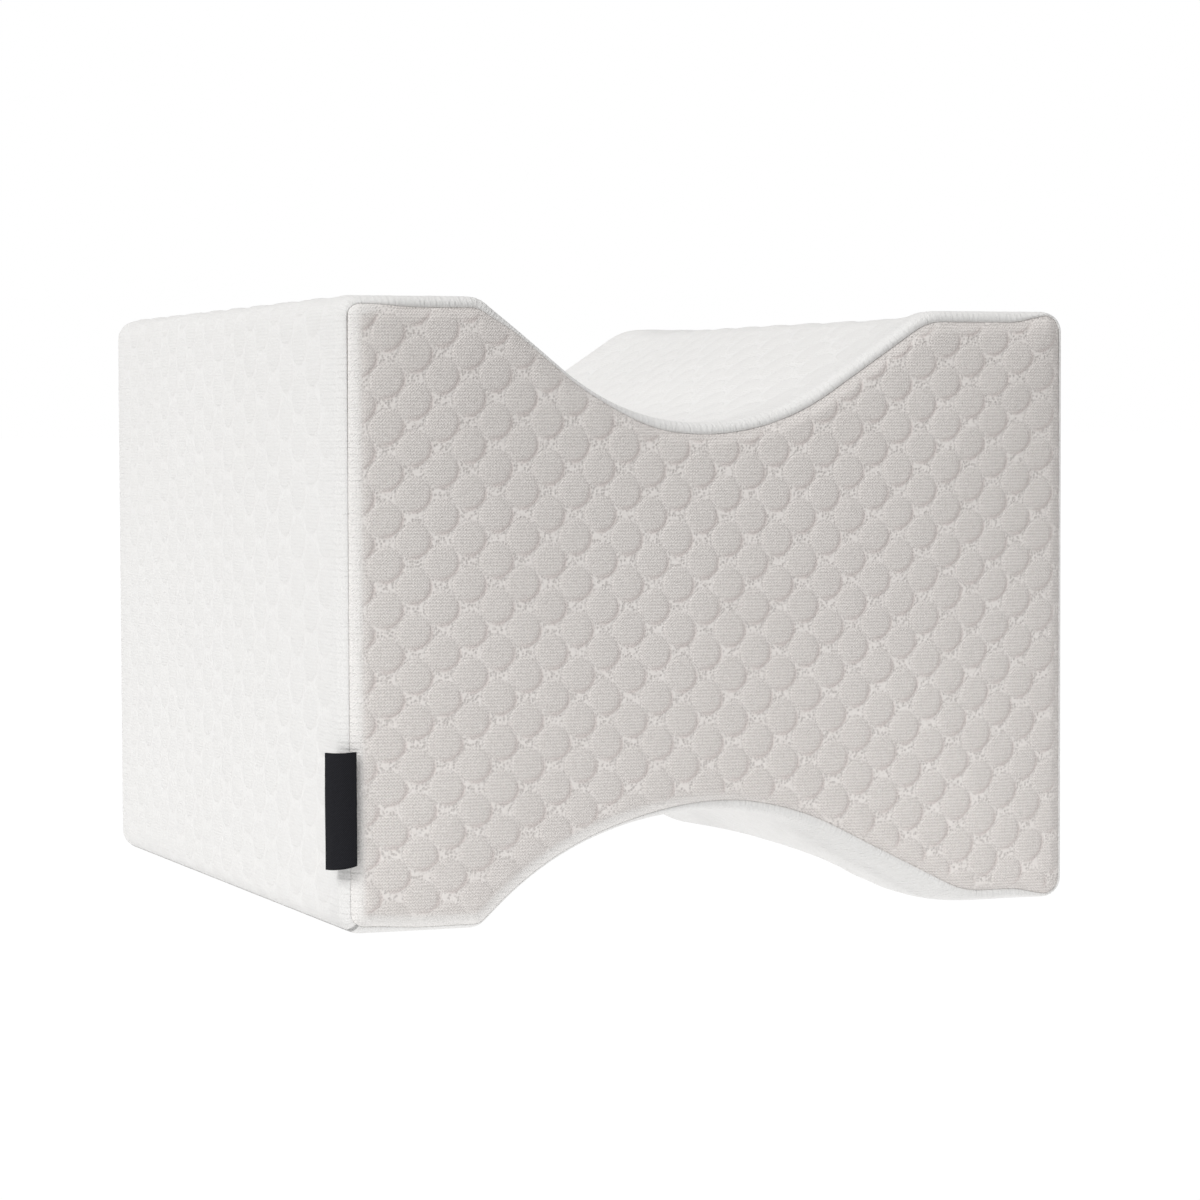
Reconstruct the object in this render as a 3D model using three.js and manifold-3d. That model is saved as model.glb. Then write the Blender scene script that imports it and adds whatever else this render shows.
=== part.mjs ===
// A knee pillow: a filled knit cushion with a hollow across its top and a shallower one underneath.
// Millimetres, +Z up. X runs along the hollowed front face and Y runs from the front to the back.
// The origin is on the surface that the two feet stand on, in the middle of the whole part's width,
// which takes in the label on the left. Until the pieces are moved there, X is measured from the
// middle of the cushion.

import * as THREE from "three";
import { mergeVertices } from "three/addons/utils/BufferGeometryUtils.js";
import Module from "manifold-3d";

// Overall size, measured over the band that runs round the cushion. The height is the right lobe's.
const WIDTH = 203.6;
const DEPTH = 224;
const HEIGHT = 158;

// The left lobe is filled a little taller.
const LEFT_LOBE_RISE = 2.8;

// The four long outer edges of the cushion.
const CORNER_RADIUS = 5.6;

// Each hollow is a round trough that runs by a straight flank into a rounded shoulder on either side.
// halfWidth is measured from the trough's middle to where the shoulder meets the flat lobe or foot,
// and rise is how far that flat lies beyond the one that the hollow's depth is measured from.
const TOP_HOLLOW = {
  middle: -2.8,
  depth: 29.4,
  radius: 61.6,
  left: { halfWidth: 64.4, shoulder: 7.7, rise: LEFT_LOBE_RISE },
  right: { halfWidth: 68.2, shoulder: 16.8, rise: 0 },
};
const UNDER_HOLLOW = {
  middle: -2.2,
  depth: 27.5,
  radius: 84,
  left: { halfWidth: 64.6, shoulder: 5, rise: 0 },
  right: { halfWidth: 80.5, shoulder: 24.6, rise: 0 },
};

// The band is cut a little small, so it draws in between the two seams, by this much at mid-depth.
// The feet keep their full height up to the lower level, and the draw is complete at the upper one.
// The fuller left side keeps its shape, and the draw is complete right of the hollows.
const BAND_DRAW = 1.7;
const DRAW_FROM_LEVEL = 4;
const DRAW_FULL_LEVEL = 34;
const DRAW_FROM_ACROSS = -60;
const DRAW_FULL_ACROSS = 20;
const DRAW_FROM_SETBACK = 3.8;
const DRAW_FULL_SETBACK = 34;

// The band's edge, from the seam crease out over the rolled lip to the flat stretch.
// inset is measured in from the outline, and setback from the end of the cushion's depth.
const BAND_EDGE = [
  { inset: 3, setback: 2.9 },
  { inset: 3, setback: 1.6 },
  { inset: 2.8, setback: 0.7 },
  { inset: 2.1, setback: 0.1 },
  { inset: 1.2, setback: 0.6 },
  { inset: 0.4, setback: 1.9 },
  { inset: 0, setback: 3.8 },
  { inset: 0, setback: 14 },
  { inset: 0, setback: 34 },
];

// The front and back panels lie inside the rolled lips, on the crowned ends of the filling.
const GAP = 0.3;
const FILLING_SETBACK = 2.9;
const FILLING_ROOT_SETBACK = 12;
const PANEL_INSET = 3 + GAP;
const PANEL_RIM_SETBACK = 1.5;
const PANEL_BACK_SETBACK = 6;
const PANEL_RISE = 1.1;
const PANEL_RISE_WIDTH = 5;
const CROWN = 2.4;
const CROWN_REACH = 48;

// The bubble knit of the panels: domed dots in rows, each row half a pitch along from the next.
// The columns lean, and the rows sag a little and climb towards the right, as the cloth was sewn.
const DOT_PITCH = 14.15;
const ROW_PAIR_PITCH = 11.47;
const FIRST_DOT = { across: -0.433, up: 0.111 };
const COLUMN_LEAN = 0.0267;
const ROW_RISE = { slope: -0.0084, sag: 5e-4, climb: 4.1e-6 };
const DOT_HEIGHT = 0.75;
const DOT_SHOULDER_HEIGHT = 0.65;
const DOT_SHOULDER_REACH = 0.52;
const DOT_VALLEY_HEIGHT = 0.15;
const DOT_FADE_WIDTH = 4;

// The woven label is caught in the front left seam near the foot and bends back round the corner.
// across is measured outwards from the cushion's left side, and back from its front end.
const LABEL_BOTTOM = 16.8;
const LABEL_HEIGHT = 29;
const LABEL_THICKNESS = 0.9;
const LABEL_STEPS = 8;
const LABEL_BEND = [
  { across: -4.2, back: -0.8 },
  { across: -2, back: -0.8 },
  { across: 0.7, back: -0.3 },
  { across: 2.4, back: 1.7 },
  { across: 3.4, back: 4.4 },
];

// Steps along each round stretch, and the longest straight run between two points of the outline.
const HOLLOW_STEPS = 13;
const SHOULDER_STEPS = 3;
const CORNER_STEPS = 3;
const LONGEST_RUN = 40;
const CROWN_CELLS = { across: 7, up: 5 };

// A grid cell has a point at each corner, one on each side and one in its middle. Numbered round from
// the corner where a dot or a crest lies, with the middle last, these triangles fill it.
const CELL_TRIANGLES = [
  [0, 1, 7],
  [1, 8, 7],
  [1, 2, 8],
  [2, 3, 8],
  [3, 4, 5],
  [3, 5, 8],
  [5, 6, 8],
  [6, 7, 8],
];

const KNIT = { color: 0xf1efec, roughness: 0.92, metalness: 0 };
const PANEL_KNIT = { color: 0xe9e5e1, roughness: 0.92, metalness: 0 };
const WOVEN_LABEL = { color: 0x222329, roughness: 0.75, metalness: 0 };

const QUARTER_TURN = Math.PI / 2;

const wasm = await Module();
wasm.setup();

/** A closed geometry as a solid that can be joined and cut. */
function solidOf(geometry) {
  const bare = geometry.clone();
  bare.deleteAttribute("normal");
  bare.deleteAttribute("uv");
  const merged = mergeVertices(bare, 1e-4);
  return new wasm.Manifold(
    new wasm.Mesh({
      numProp: 3,
      vertProperties: merged.attributes.position.array,
      triVerts: new Uint32Array(merged.index.array),
    }),
  );
}

/** A solid's surface as a geometry. */
function geometryOf(solid) {
  const { vertProperties, triVerts } = solid.getMesh();
  return geometryFrom(vertProperties, triVerts);
}

/** A geometry from flat coordinates and triangle corners. */
function geometryFrom(coordinates, corners) {
  const geometry = new THREE.BufferGeometry();
  geometry.setAttribute("position", new THREE.Float32BufferAttribute(coordinates, 3));
  geometry.setIndex(Array.from(corners));
  geometry.computeVertexNormals();
  return geometry;
}

/** The same geometry at the other end of the cushion, with its faces still pointing out. */
function mirroredToBack(geometry) {
  const mirrored = geometry.clone().scale(1, -1, 1);
  const index = mirrored.index.array;
  for (let i = 0; i < index.length; i += 3) {
    [index[i], index[i + 1]] = [index[i + 1], index[i]];
  }
  mirrored.computeVertexNormals();
  return mirrored;
}

/** Slope, in radians, of the straight flank that touches a hollow's trough and one shoulder. */
function flankSlope({ depth, radius }, { halfWidth, shoulder, rise }) {
  const drop = radius - depth - rise + shoulder;
  const between = Math.hypot(halfWidth, drop);
  return Math.atan2(halfWidth, drop) - Math.acos((radius + shoulder) / between);
}

/** A hollow's left shoulder, trough and right shoulder, as arcs that rise from a level floor. */
function hollowArcs(hollow) {
  const leftSlope = flankSlope(hollow, hollow.left);
  const rightSlope = flankSlope(hollow, hollow.right);
  const shoulder = ({ halfWidth, shoulder: radius, rise }, way, from, to) => ({
    x: hollow.middle + way * halfWidth,
    z: radius - rise,
    radius,
    from,
    to,
    steps: SHOULDER_STEPS,
  });
  return [
    shoulder(hollow.left, -1, -QUARTER_TURN, leftSlope - QUARTER_TURN),
    {
      x: hollow.middle,
      z: hollow.depth - hollow.radius,
      radius: hollow.radius,
      from: QUARTER_TURN + leftSlope,
      to: QUARTER_TURN - rightSlope,
      steps: HOLLOW_STEPS,
      isHollow: true,
    },
    shoulder(hollow.right, 1, -QUARTER_TURN - rightSlope, -QUARTER_TURN),
  ];
}

/** An arc of the underside moved to the top, where the outline runs the other way. */
function turnedOver(arc) {
  return { ...arc, z: HEIGHT - arc.z, from: -arc.to, to: -arc.from };
}

/** The round stretches of the outline in order, anticlockwise from the lower left corner. */
function outlineArcs() {
  const side = WIDTH / 2 - CORNER_RADIUS;
  const corner = (x, z, from) => ({
    x,
    z,
    radius: CORNER_RADIUS,
    from,
    to: from + QUARTER_TURN,
    steps: CORNER_STEPS,
  });
  return [
    corner(-side, CORNER_RADIUS, -2 * QUARTER_TURN),
    ...hollowArcs(UNDER_HOLLOW),
    corner(side, CORNER_RADIUS, -QUARTER_TURN),
    corner(side, HEIGHT - CORNER_RADIUS, 0),
    ...hollowArcs(TOP_HOLLOW).map(turnedOver).reverse(),
    corner(-side, HEIGHT + LEFT_LOBE_RISE - CORNER_RADIUS, QUARTER_TURN),
  ];
}

/** The cushion's outline drawn in by an inset, as points (x, z) that run anticlockwise. */
function outline(inset) {
  const stretches = outlineArcs().map(({ x, z, radius, from, to, steps, isHollow }) => {
    const drawn = isHollow ? radius + inset : radius - inset;
    return Array.from({ length: steps + 1 }, (_, i) => {
      const angle = from + ((to - from) * i) / steps;
      return new THREE.Vector2(x + drawn * Math.cos(angle), z + drawn * Math.sin(angle));
    });
  });
  return stretches.flatMap((stretch, i) => {
    const start = stretch.at(-1);
    const end = stretches[(i + 1) % stretches.length][0];
    const runs = Math.ceil(start.distanceTo(end) / LONGEST_RUN);
    const between = Array.from({ length: runs - 1 }, (_, k) => start.clone().lerp(end, (k + 1) / runs));
    return [...stretch, ...between];
  });
}

/** One ring of the band at a setback from the front end, drawn in above the feet. */
function bandRing({ inset, setback }) {
  const draw = BAND_DRAW * THREE.MathUtils.smoothstep(setback, DRAW_FROM_SETBACK, DRAW_FULL_SETBACK);
  const full = outline(inset);
  const drawn = outline(inset + draw);
  return full.map((point, i) => {
    const byLevel = THREE.MathUtils.smoothstep(point.y, DRAW_FROM_LEVEL, DRAW_FULL_LEVEL);
    const bySide = THREE.MathUtils.smoothstep(point.x, DRAW_FROM_ACROSS, DRAW_FULL_ACROSS);
    return point.clone().lerp(drawn[i], byLevel * bySide);
  });
}

/** The band and what it wraps: rings from the front crease to the back crease, closed flat. */
function bandSolid() {
  const front = BAND_EDGE.map((row) => ({ ring: bandRing(row), y: row.setback - DEPTH / 2 }));
  const back = front.map(({ ring, y }) => ({ ring, y: -y })).reverse();
  const sections = [...front, ...back];
  const around = sections[0].ring.length;
  const coordinates = sections.flatMap(({ ring, y }) => ring.flatMap((point) => [point.x, y, point.y]));
  const corners = [];
  for (let k = 0; k + 1 < sections.length; k++) {
    for (let i = 0; i < around; i++) {
      const a = k * around + i;
      const b = k * around + ((i + 1) % around);
      corners.push(a, a + around, b, b, a + around, b + around);
    }
  }
  const last = (sections.length - 1) * around;
  for (const [a, b, c] of THREE.ShapeUtils.triangulateShape(sections[0].ring, [])) {
    corners.push(a, b, c);
    corners.push(last + a, last + c, last + b);
  }
  return solidOf(geometryFrom(coordinates, corners));
}

/** A straight prism along Y on the drawn-in outline, long enough to cut any end piece. */
function outlinePrism(inset) {
  const shape = new THREE.Shape(outline(inset));
  const prism = new THREE.ExtrudeGeometry(shape, { depth: DEPTH, bevelEnabled: false });
  return solidOf(prism.rotateX(QUARTER_TURN));
}

const panelEdge = outline(PANEL_INSET);

/** How far inside the panel's edge a place on the end face lies, and nothing outside it. */
function insidePanel(x, z) {
  const place = new THREE.Vector3(x, z, 0);
  const nearest = new THREE.Vector3();
  let distance = Infinity;
  let inside = false;
  panelEdge.forEach((a, i) => {
    const b = panelEdge[(i + 1) % panelEdge.length];
    const side = new THREE.Line3(new THREE.Vector3(a.x, a.y, 0), new THREE.Vector3(b.x, b.y, 0));
    side.closestPointToPoint(place, true, nearest);
    distance = Math.min(distance, nearest.distanceTo(place));
    if (a.y > z !== b.y > z && x < ((b.x - a.x) * (z - a.y)) / (b.y - a.y) + a.x) {
      inside = !inside;
    }
  });
  return inside ? distance : 0;
}

/** How far the filled end face swells at a distance inside the panel's edge. */
function crownAt(distance) {
  const flatness = 1 - Math.min(distance / CROWN_REACH, 1);
  return CROWN * (1 - flatness * flatness);
}

/** The rim of a grid of points, anticlockwise as seen from the front. */
function gridRim(columns, rows) {
  const steps = [
    { count: columns - 1, step: 1 },
    { count: rows - 1, step: columns },
    { count: columns - 1, step: -1 },
    { count: rows - 1, step: -columns },
  ];
  let at = 0;
  return steps.flatMap(({ count, step }) =>
    Array.from({ length: count }, () => {
      at += step;
      return at;
    }),
  );
}

/**
 * A slab with a flat far side and a relief of grid cells on its near side.
 * nearPoint(i, j) gives the relief's points, at half steps for the sides and middles of the cells.
 */
function griddedSlab({ across, up }, nearPoint, farY) {
  const columns = 2 * across + 1;
  const rows = 2 * up + 1;
  const near = Array.from({ length: columns * rows }, (_, n) =>
    nearPoint((n % columns) / 2, Math.floor(n / columns) / 2),
  );
  const far = near.map(({ x, z }) => new THREE.Vector3(x, farY, z));
  const corners = [];
  for (let j = 0; j < up; j++) {
    for (let i = 0; i < across; i++) {
      const low = 2 * (j * columns + i);
      const middle = low + columns;
      const high = middle + columns;
      const round = [low, low + 1, low + 2, middle + 2, high + 2, high + 1, high, middle];
      const turn = (i + j) % 2 === 0 ? 0 : 2;
      const cell = [...round.slice(turn), ...round.slice(0, turn), middle + 1];
      for (const [a, b, c] of CELL_TRIANGLES) {
        corners.push(cell[a], cell[b], cell[c]);
        corners.push(cell[a] + near.length, cell[c] + near.length, cell[b] + near.length);
      }
    }
  }
  gridRim(columns, rows).forEach((a, k, rim) => {
    const b = rim[(k + 1) % rim.length];
    corners.push(a, a + near.length, b, b, a + near.length, b + near.length);
  });
  const coordinates = [...near, ...far].flatMap(({ x, y, z }) => [x, y, z]);
  return solidOf(geometryFrom(coordinates, corners));
}

/** The crowned front end of the filling, raised by a clearance where it is used to cut. */
function fillingEnd(inset, clearance) {
  const { across, up } = CROWN_CELLS;
  const nearPoint = (i, j) => {
    const x = WIDTH * (i / across - 0.5);
    const z = ((HEIGHT + LEFT_LOBE_RISE) * j) / up;
    const swell = crownAt(insidePanel(x, z)) + clearance - FILLING_SETBACK;
    return new THREE.Vector3(x, -DEPTH / 2 - swell, z);
  };
  const slab = griddedSlab(CROWN_CELLS, nearPoint, FILLING_ROOT_SETBACK - DEPTH / 2);
  return slab.intersect(outlinePrism(inset));
}

/** The filled body in its band: one solid, with both of its end faces crowned. */
function filledBody() {
  const end = fillingEnd(PANEL_INSET, 0);
  const farEnd = solidOf(mirroredToBack(geometryOf(end)));
  return geometryOf(bandSolid().add(end).add(farEnd));
}

/** Where the knit lattice's point lies on the face, counted in half pitches from the middle. */
function latticePoint(halfColumns, halfRows) {
  const level = ROW_PAIR_PITCH * (FIRST_DOT.up + halfRows / 2);
  const lean = COLUMN_LEAN * (HEIGHT / 2 - level);
  const x = DOT_PITCH * (FIRST_DOT.across + halfColumns / 2) + lean;
  const z = level + ROW_RISE.slope * x + ROW_RISE.sag * x * x + ROW_RISE.climb * x ** 3;
  return { x, z };
}

/**
 * One point of the knit's relief: a dot's crown or the mesh between dots at whole steps, the valley
 * where two dots meet at half steps both ways, or else a dot's shoulder on the way to the mesh.
 */
function knitPoint(column, row) {
  const firstColumn = Math.floor(column);
  const firstRow = Math.floor(row);
  const startsOnDot = (firstColumn + firstRow) % 2 === 0;
  const betweenColumns = column > firstColumn;
  const betweenRows = row > firstRow;
  if (betweenColumns && betweenRows) {
    return { ...latticePoint(column, row), relief: DOT_VALLEY_HEIGHT };
  }
  if (!betweenColumns && !betweenRows) {
    return { ...latticePoint(column, row), relief: startsOnDot ? DOT_HEIGHT : 0 };
  }
  const reach = startsOnDot ? DOT_SHOULDER_REACH : 1 - DOT_SHOULDER_REACH;
  const shoulder = latticePoint(
    firstColumn + (betweenColumns ? reach : 0),
    firstRow + (betweenRows ? reach : 0),
  );
  return { ...shoulder, relief: DOT_SHOULDER_HEIGHT };
}

/** The front panel: a sheet of bubble knit that follows the crown, with its dots raised. */
function frontPanel() {
  const halfColumns = 2 * Math.ceil(WIDTH / DOT_PITCH / 2) + 2;
  const cells = { across: 2 * halfColumns, up: Math.ceil((2 * HEIGHT) / ROW_PAIR_PITCH) + 3 };
  const nearPoint = (i, j) => {
    const { x, z, relief } = knitPoint(i - halfColumns, j - 2);
    const inside = insidePanel(x, z);
    const rise = PANEL_RISE * THREE.MathUtils.smoothstep(inside, 0, PANEL_RISE_WIDTH);
    const shown = relief * THREE.MathUtils.smoothstep(inside, 0, DOT_FADE_WIDTH);
    return new THREE.Vector3(x, PANEL_RIM_SETBACK - DEPTH / 2 - rise - crownAt(inside) - shown, z);
  };
  const slab = griddedSlab(cells, nearPoint, PANEL_BACK_SETBACK - DEPTH / 2);
  const sheet = slab.intersect(outlinePrism(PANEL_INSET));
  return geometryOf(sheet.subtract(fillingEnd(PANEL_INSET - 1, GAP)));
}

/** The label: a bent strip of even thickness that stands upright along the seam. */
function seamLabel() {
  const bend = LABEL_BEND.map(
    ({ across, back }) => new THREE.Vector3(-WIDTH / 2 - across, back - DEPTH / 2, 0),
  );
  const curve = new THREE.CatmullRomCurve3(bend);
  const side = (offset) =>
    Array.from({ length: LABEL_STEPS + 1 }, (_, i) => {
      const along = i / LABEL_STEPS;
      const { x, y } = curve.getPoint(along);
      const tangent = curve.getTangent(along);
      return new THREE.Vector2(x - tangent.y * offset, y + tangent.x * offset);
    });
  const half = LABEL_THICKNESS / 2;
  const shape = new THREE.Shape([...side(half), ...side(-half).reverse()]);
  const strip = new THREE.ExtrudeGeometry(shape, { depth: LABEL_HEIGHT, bevelEnabled: false });
  return geometryOf(solidOf(strip.translate(0, 0, LABEL_BOTTOM)));
}

/** A named piece with its own material. */
function piece(name, geometry, finish) {
  const mesh = new THREE.Mesh(geometry, new THREE.MeshStandardMaterial(finish));
  mesh.name = name;
  return mesh;
}

const panel = frontPanel();
const pillow = new THREE.Group();
pillow.add(
  piece("filled_band", filledBody(), KNIT),
  piece("front_panel", panel, PANEL_KNIT),
  piece("back_panel", mirroredToBack(panel), PANEL_KNIT),
  piece("seam_label", seamLabel(), WOVEN_LABEL),
);

const middle = new THREE.Box3().setFromObject(pillow).getCenter(new THREE.Vector3());
for (const { geometry } of pillow.children) {
  geometry.translate(-middle.x, 0, 0);
}

export default pillow;
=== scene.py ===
"""Dresses the knee pillow: a foam cushion in bubble knit, hollowed above and below for the legs."""

import logging
import math
from collections.abc import Mapping, Sequence
from dataclasses import dataclass
from enum import Enum

import bpy
import numpy as np
from mathutils import Euler, Matrix, Vector


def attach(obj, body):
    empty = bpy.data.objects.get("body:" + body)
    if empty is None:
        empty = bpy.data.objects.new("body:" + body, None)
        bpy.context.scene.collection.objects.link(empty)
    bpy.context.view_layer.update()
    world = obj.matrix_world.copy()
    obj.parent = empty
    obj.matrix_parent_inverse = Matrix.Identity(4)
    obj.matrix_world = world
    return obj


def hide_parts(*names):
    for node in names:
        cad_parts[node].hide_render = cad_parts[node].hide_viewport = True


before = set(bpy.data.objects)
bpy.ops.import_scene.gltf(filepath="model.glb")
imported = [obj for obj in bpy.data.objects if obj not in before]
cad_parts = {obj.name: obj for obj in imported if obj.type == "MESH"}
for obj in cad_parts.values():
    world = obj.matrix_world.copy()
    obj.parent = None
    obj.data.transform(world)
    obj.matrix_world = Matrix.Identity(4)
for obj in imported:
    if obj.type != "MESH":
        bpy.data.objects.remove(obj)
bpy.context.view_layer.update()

log = logging.getLogger("knee_pillow")

Array = np.ndarray
Colour = tuple[float, float, float, float]
Span = tuple[float, float]
Pairs = tuple[Span, ...]
Material = bpy.types.Material
Piece = bpy.types.Object
Socket = bpy.types.NodeSocket
Tree = bpy.types.NodeTree
Value = Socket | float | str | Sequence[float]

MM = 0.001
QUARTER_TURN = math.pi / 2

# A fold in a mesh that turns more than this is shaded as an edge.
FOLD_ANGLE = math.radians(55)

# The frame's origin is in the middle of the width with the label, this far left of the cushion's middle.
ORIGIN_SHIFT = Vector((1.911 * MM, 0, 0))


class End(Enum):
    """The two hollowed ends of the cushion, by the way that each faces along Y."""

    FRONT = -1
    BACK = 1


def smoothstep(value: Array, low: float, high: float) -> Array:
    """Eases values from 0 at low to 1 at high."""
    t = np.clip((value - low) / (high - low), 0, 1)
    return t * t * (3 - 2 * t)


def smooth_path(points: Sequence[Span], steps: int) -> Array:
    """Runs a smooth line through a few points.

    Args:
        points: The points.
        steps: How many steps it takes from each to the next.

    Returns:
        The line's points.
    """
    knots = np.array(points, float)
    slopes = np.gradient(knots, axis=0)
    t = np.linspace(0, 1, steps, endpoint=False)[:, None]
    runs = [
        (2 * t**3 - 3 * t**2 + 1) * knots[i]
        + (t**3 - 2 * t**2 + t) * slopes[i]
        + (3 * t**2 - 2 * t**3) * knots[i + 1]
        + (t**3 - t**2) * slopes[i + 1]
        for i in range(len(knots) - 1)
    ]
    return np.vstack([*runs, knots[-1:]])


def mesh_object(name: str, points: Array, faces: list[list[int]]) -> Piece:
    """Makes an object of a smooth mesh at the origin.

    Args:
        name: The object's name.
        points: Its points in millimetres.
        faces: Its faces, as lists of point numbers.

    Returns:
        The object.
    """
    mesh = bpy.data.meshes.new(name)
    mesh.from_pydata((points * MM + np.array(ORIGIN_SHIFT)).tolist(), [], faces)
    mesh.shade_smooth()
    thing = bpy.data.objects.new(name, mesh)
    bpy.context.scene.collection.objects.link(thing)
    return thing


def keep_values(piece: Piece, **values: Array) -> None:
    """Keeps numbers or vectors at a mesh's points, under names that its nodes read."""
    for name, row in values.items():
        kind, key = ("FLOAT_VECTOR", "vector") if row.ndim == 2 else ("FLOAT", "value")
        made = piece.data.attributes.new(name, kind, "POINT")
        made.data.foreach_set(key, row.astype(np.float32).ravel())


def strip_faces(rows: int, columns: int, closed: bool) -> list[list[int]]:
    """Joins rows of points into four-sided faces.

    Args:
        rows: How many rows there are.
        columns: How many points a row has.
        closed: Whether each row is a ring.

    Returns:
        The faces.
    """
    across = np.arange(columns if closed else columns - 1)
    after = (across + 1) % columns
    starts = columns * np.arange(rows - 1)[:, None]
    near, far = starts + across, starts + after
    faces = np.stack([near, far, far + columns, near + columns], -1)
    return faces.reshape(-1, 4).tolist()


class NodeSheet:
    """Lays out nodes in a tree and joins them."""

    def __init__(self, tree: Tree) -> None:
        """Starts on a tree."""
        self.tree = tree

    def feed(self, node: bpy.types.Node, inputs: Mapping[str | int, Value]) -> None:
        """Joins a node's inputs to other sockets, or sets their own values."""
        for key, value in inputs.items():
            if isinstance(value, Socket):
                self.tree.links.new(value, node.inputs[key])
            else:
                node.inputs[key].default_value = value

    def node(
        self, kind: str, inputs: Mapping[str | int, Value] | None = None, **settings: object
    ) -> bpy.types.Node:
        """Adds a node.

        Args:
            kind: The node's type.
            inputs: What feeds its inputs.
            **settings: Its own settings.

        Returns:
            The node.
        """
        made = self.tree.nodes.new(kind)
        for key, value in settings.items():
            setattr(made, key, value)
        self.feed(made, inputs or {})
        return made

    def maths(self, operation: str, *values: Value) -> Socket:
        """Adds one step of arithmetic."""
        return self.node("ShaderNodeMath", dict(enumerate(values)), operation=operation).outputs[0]

    def times(self, first: Value, second: Value) -> Socket:
        """Multiplies two numbers."""
        return self.maths("MULTIPLY", first, second)

    def scaled(self, value: Value, factor: Value, base: Value) -> Socket:
        """Multiplies a number by a factor and adds a base."""
        return self.maths("MULTIPLY_ADD", value, factor, base)

    def eased(self, value: Value, low: Value, high: Value, out: Span = (0.0, 1.0)) -> Socket:
        """Eases a value between the two of out, as it goes from low to high."""
        inputs = {0: value, 1: low, 2: high, 3: out[0], 4: out[1]}
        return self.node("ShaderNodeMapRange", inputs, interpolation_type="SMOOTHSTEP").outputs[0]

    def split(self, vector: Socket) -> Sequence[Socket]:
        """Takes a vector apart."""
        return self.node("ShaderNodeSeparateXYZ", {0: vector}).outputs

    def noise(self, place: Socket, scale: float, detail: float) -> Socket:
        """Adds smooth noise and returns its height."""
        inputs = {"Vector": place, "Scale": scale, "Detail": detail}
        return self.node("ShaderNodeTexNoise", inputs).outputs[0]

    def kept(self, name: str, output: str) -> Socket:
        """Reads a value that a piece keeps at its points, in a finish."""
        return self.node("ShaderNodeAttribute", attribute_name=name).outputs[output]

    def from_dot(self, lattice: Socket) -> tuple[list[Socket], list[Socket]]:
        """Finds the nearest dot, and how far a place is from it along both slants."""
        place = self.split(lattice)
        slant = [self.times(self.maths(way, place[0], place[1]), 0.5) for way in ("ADD", "SUBTRACT")]
        whole = [self.maths("ROUND", value) for value in slant]
        return whole, [self.maths("SUBTRACT", value, near) for value, near in zip(slant, whole)]

    def touch(self, column: Socket, row: Socket) -> Socket:
        """Works out the radius at which dots touch, from their half pitches."""
        squares = [self.times(side, side) for side in (column, row)]
        slope = self.maths("SQRT", self.maths("ADD", *squares))
        return self.maths("DIVIDE", self.times(column, row), slope)

    def wave(self, value: Value, period: Value) -> Socket:
        """Makes a sine wave of a given period."""
        turns = self.maths("DIVIDE", value, period)
        return self.maths("SINE", self.times(turns, 2 * math.pi))

    def blend(self, share: Value, first: Value, second: Value) -> Socket:
        """Mixes two numbers."""
        return self.node("ShaderNodeMix", {0: share, 2: first, 3: second}, data_type="FLOAT").outputs[0]

    def tint(self, share: Value, first: Value, second: Value) -> Socket:
        """Mixes two colours."""
        return self.node("ShaderNodeMix", {0: share, 6: first, 7: second}, data_type="RGBA").outputs[2]

    def group(self, tree: Tree, inputs: Mapping[str, Value]) -> Sequence[Socket]:
        """Places a shared shader group and returns its outputs."""
        made = self.node("ShaderNodeGroup", node_tree=tree)
        self.feed(made, inputs)
        return made.outputs


class GroupKind(Enum):
    """What a node group is for."""

    SHAPE = "GeometryNodeTree"
    FINISH = "ShaderNodeTree"


SOCKETS = {"number": "Float", "vector": "Vector", "colour": "Color"}
SOCKETS |= {"shape": "Geometry", "material": "Material"}
Kinds = Mapping[str, str]


class NodeGroup(NodeSheet):
    """A node group with named inputs and outputs."""

    def __init__(self, name: str, takes: Kinds, gives: Kinds, kind: GroupKind = GroupKind.FINISH) -> None:
        """Makes the group and its sockets.

        Args:
            name: The group's name.
            takes: The inputs and their kinds.
            gives: The outputs and their kinds.
            kind: What it is for.
        """
        super().__init__(bpy.data.node_groups.new(name, kind.value))
        for way, sockets in (("INPUT", takes), ("OUTPUT", gives)):
            for label, socket in sockets.items():
                kind_name = f"NodeSocket{SOCKETS[socket]}"
                self.tree.interface.new_socket(label, in_out=way, socket_type=kind_name)
        self.taken = self.tree.nodes.new("NodeGroupInput").outputs
        self.output = self.tree.nodes.new("NodeGroupOutput")

    def give(self, name: str, value: Socket) -> None:
        """Joins a result to an output."""
        self.feed(self.output, {name: value})


def apply_shape_group(thing: Piece, tree: Tree, values: Mapping[str, object]) -> None:
    """Runs a shape group on an object and keeps the plain mesh that it makes.

    Args:
        thing: The object.
        tree: The group.
        values: Its inputs by name.
    """
    modifier = thing.modifiers.new("shape", "NODES")
    modifier.node_group = tree
    names = {item.name: item.identifier for item in tree.interface.items_tree if item.in_out == "INPUT"}
    for name, value in values.items():
        modifier[names[name]] = value
    depsgraph = bpy.context.evaluated_depsgraph_get()
    made = bpy.data.meshes.new_from_object(thing.evaluated_get(depsgraph), depsgraph=depsgraph)
    thing.modifiers.clear()
    made.set_sharp_from_angle(angle=FOLD_ANGLE)
    thing.data = made


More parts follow.
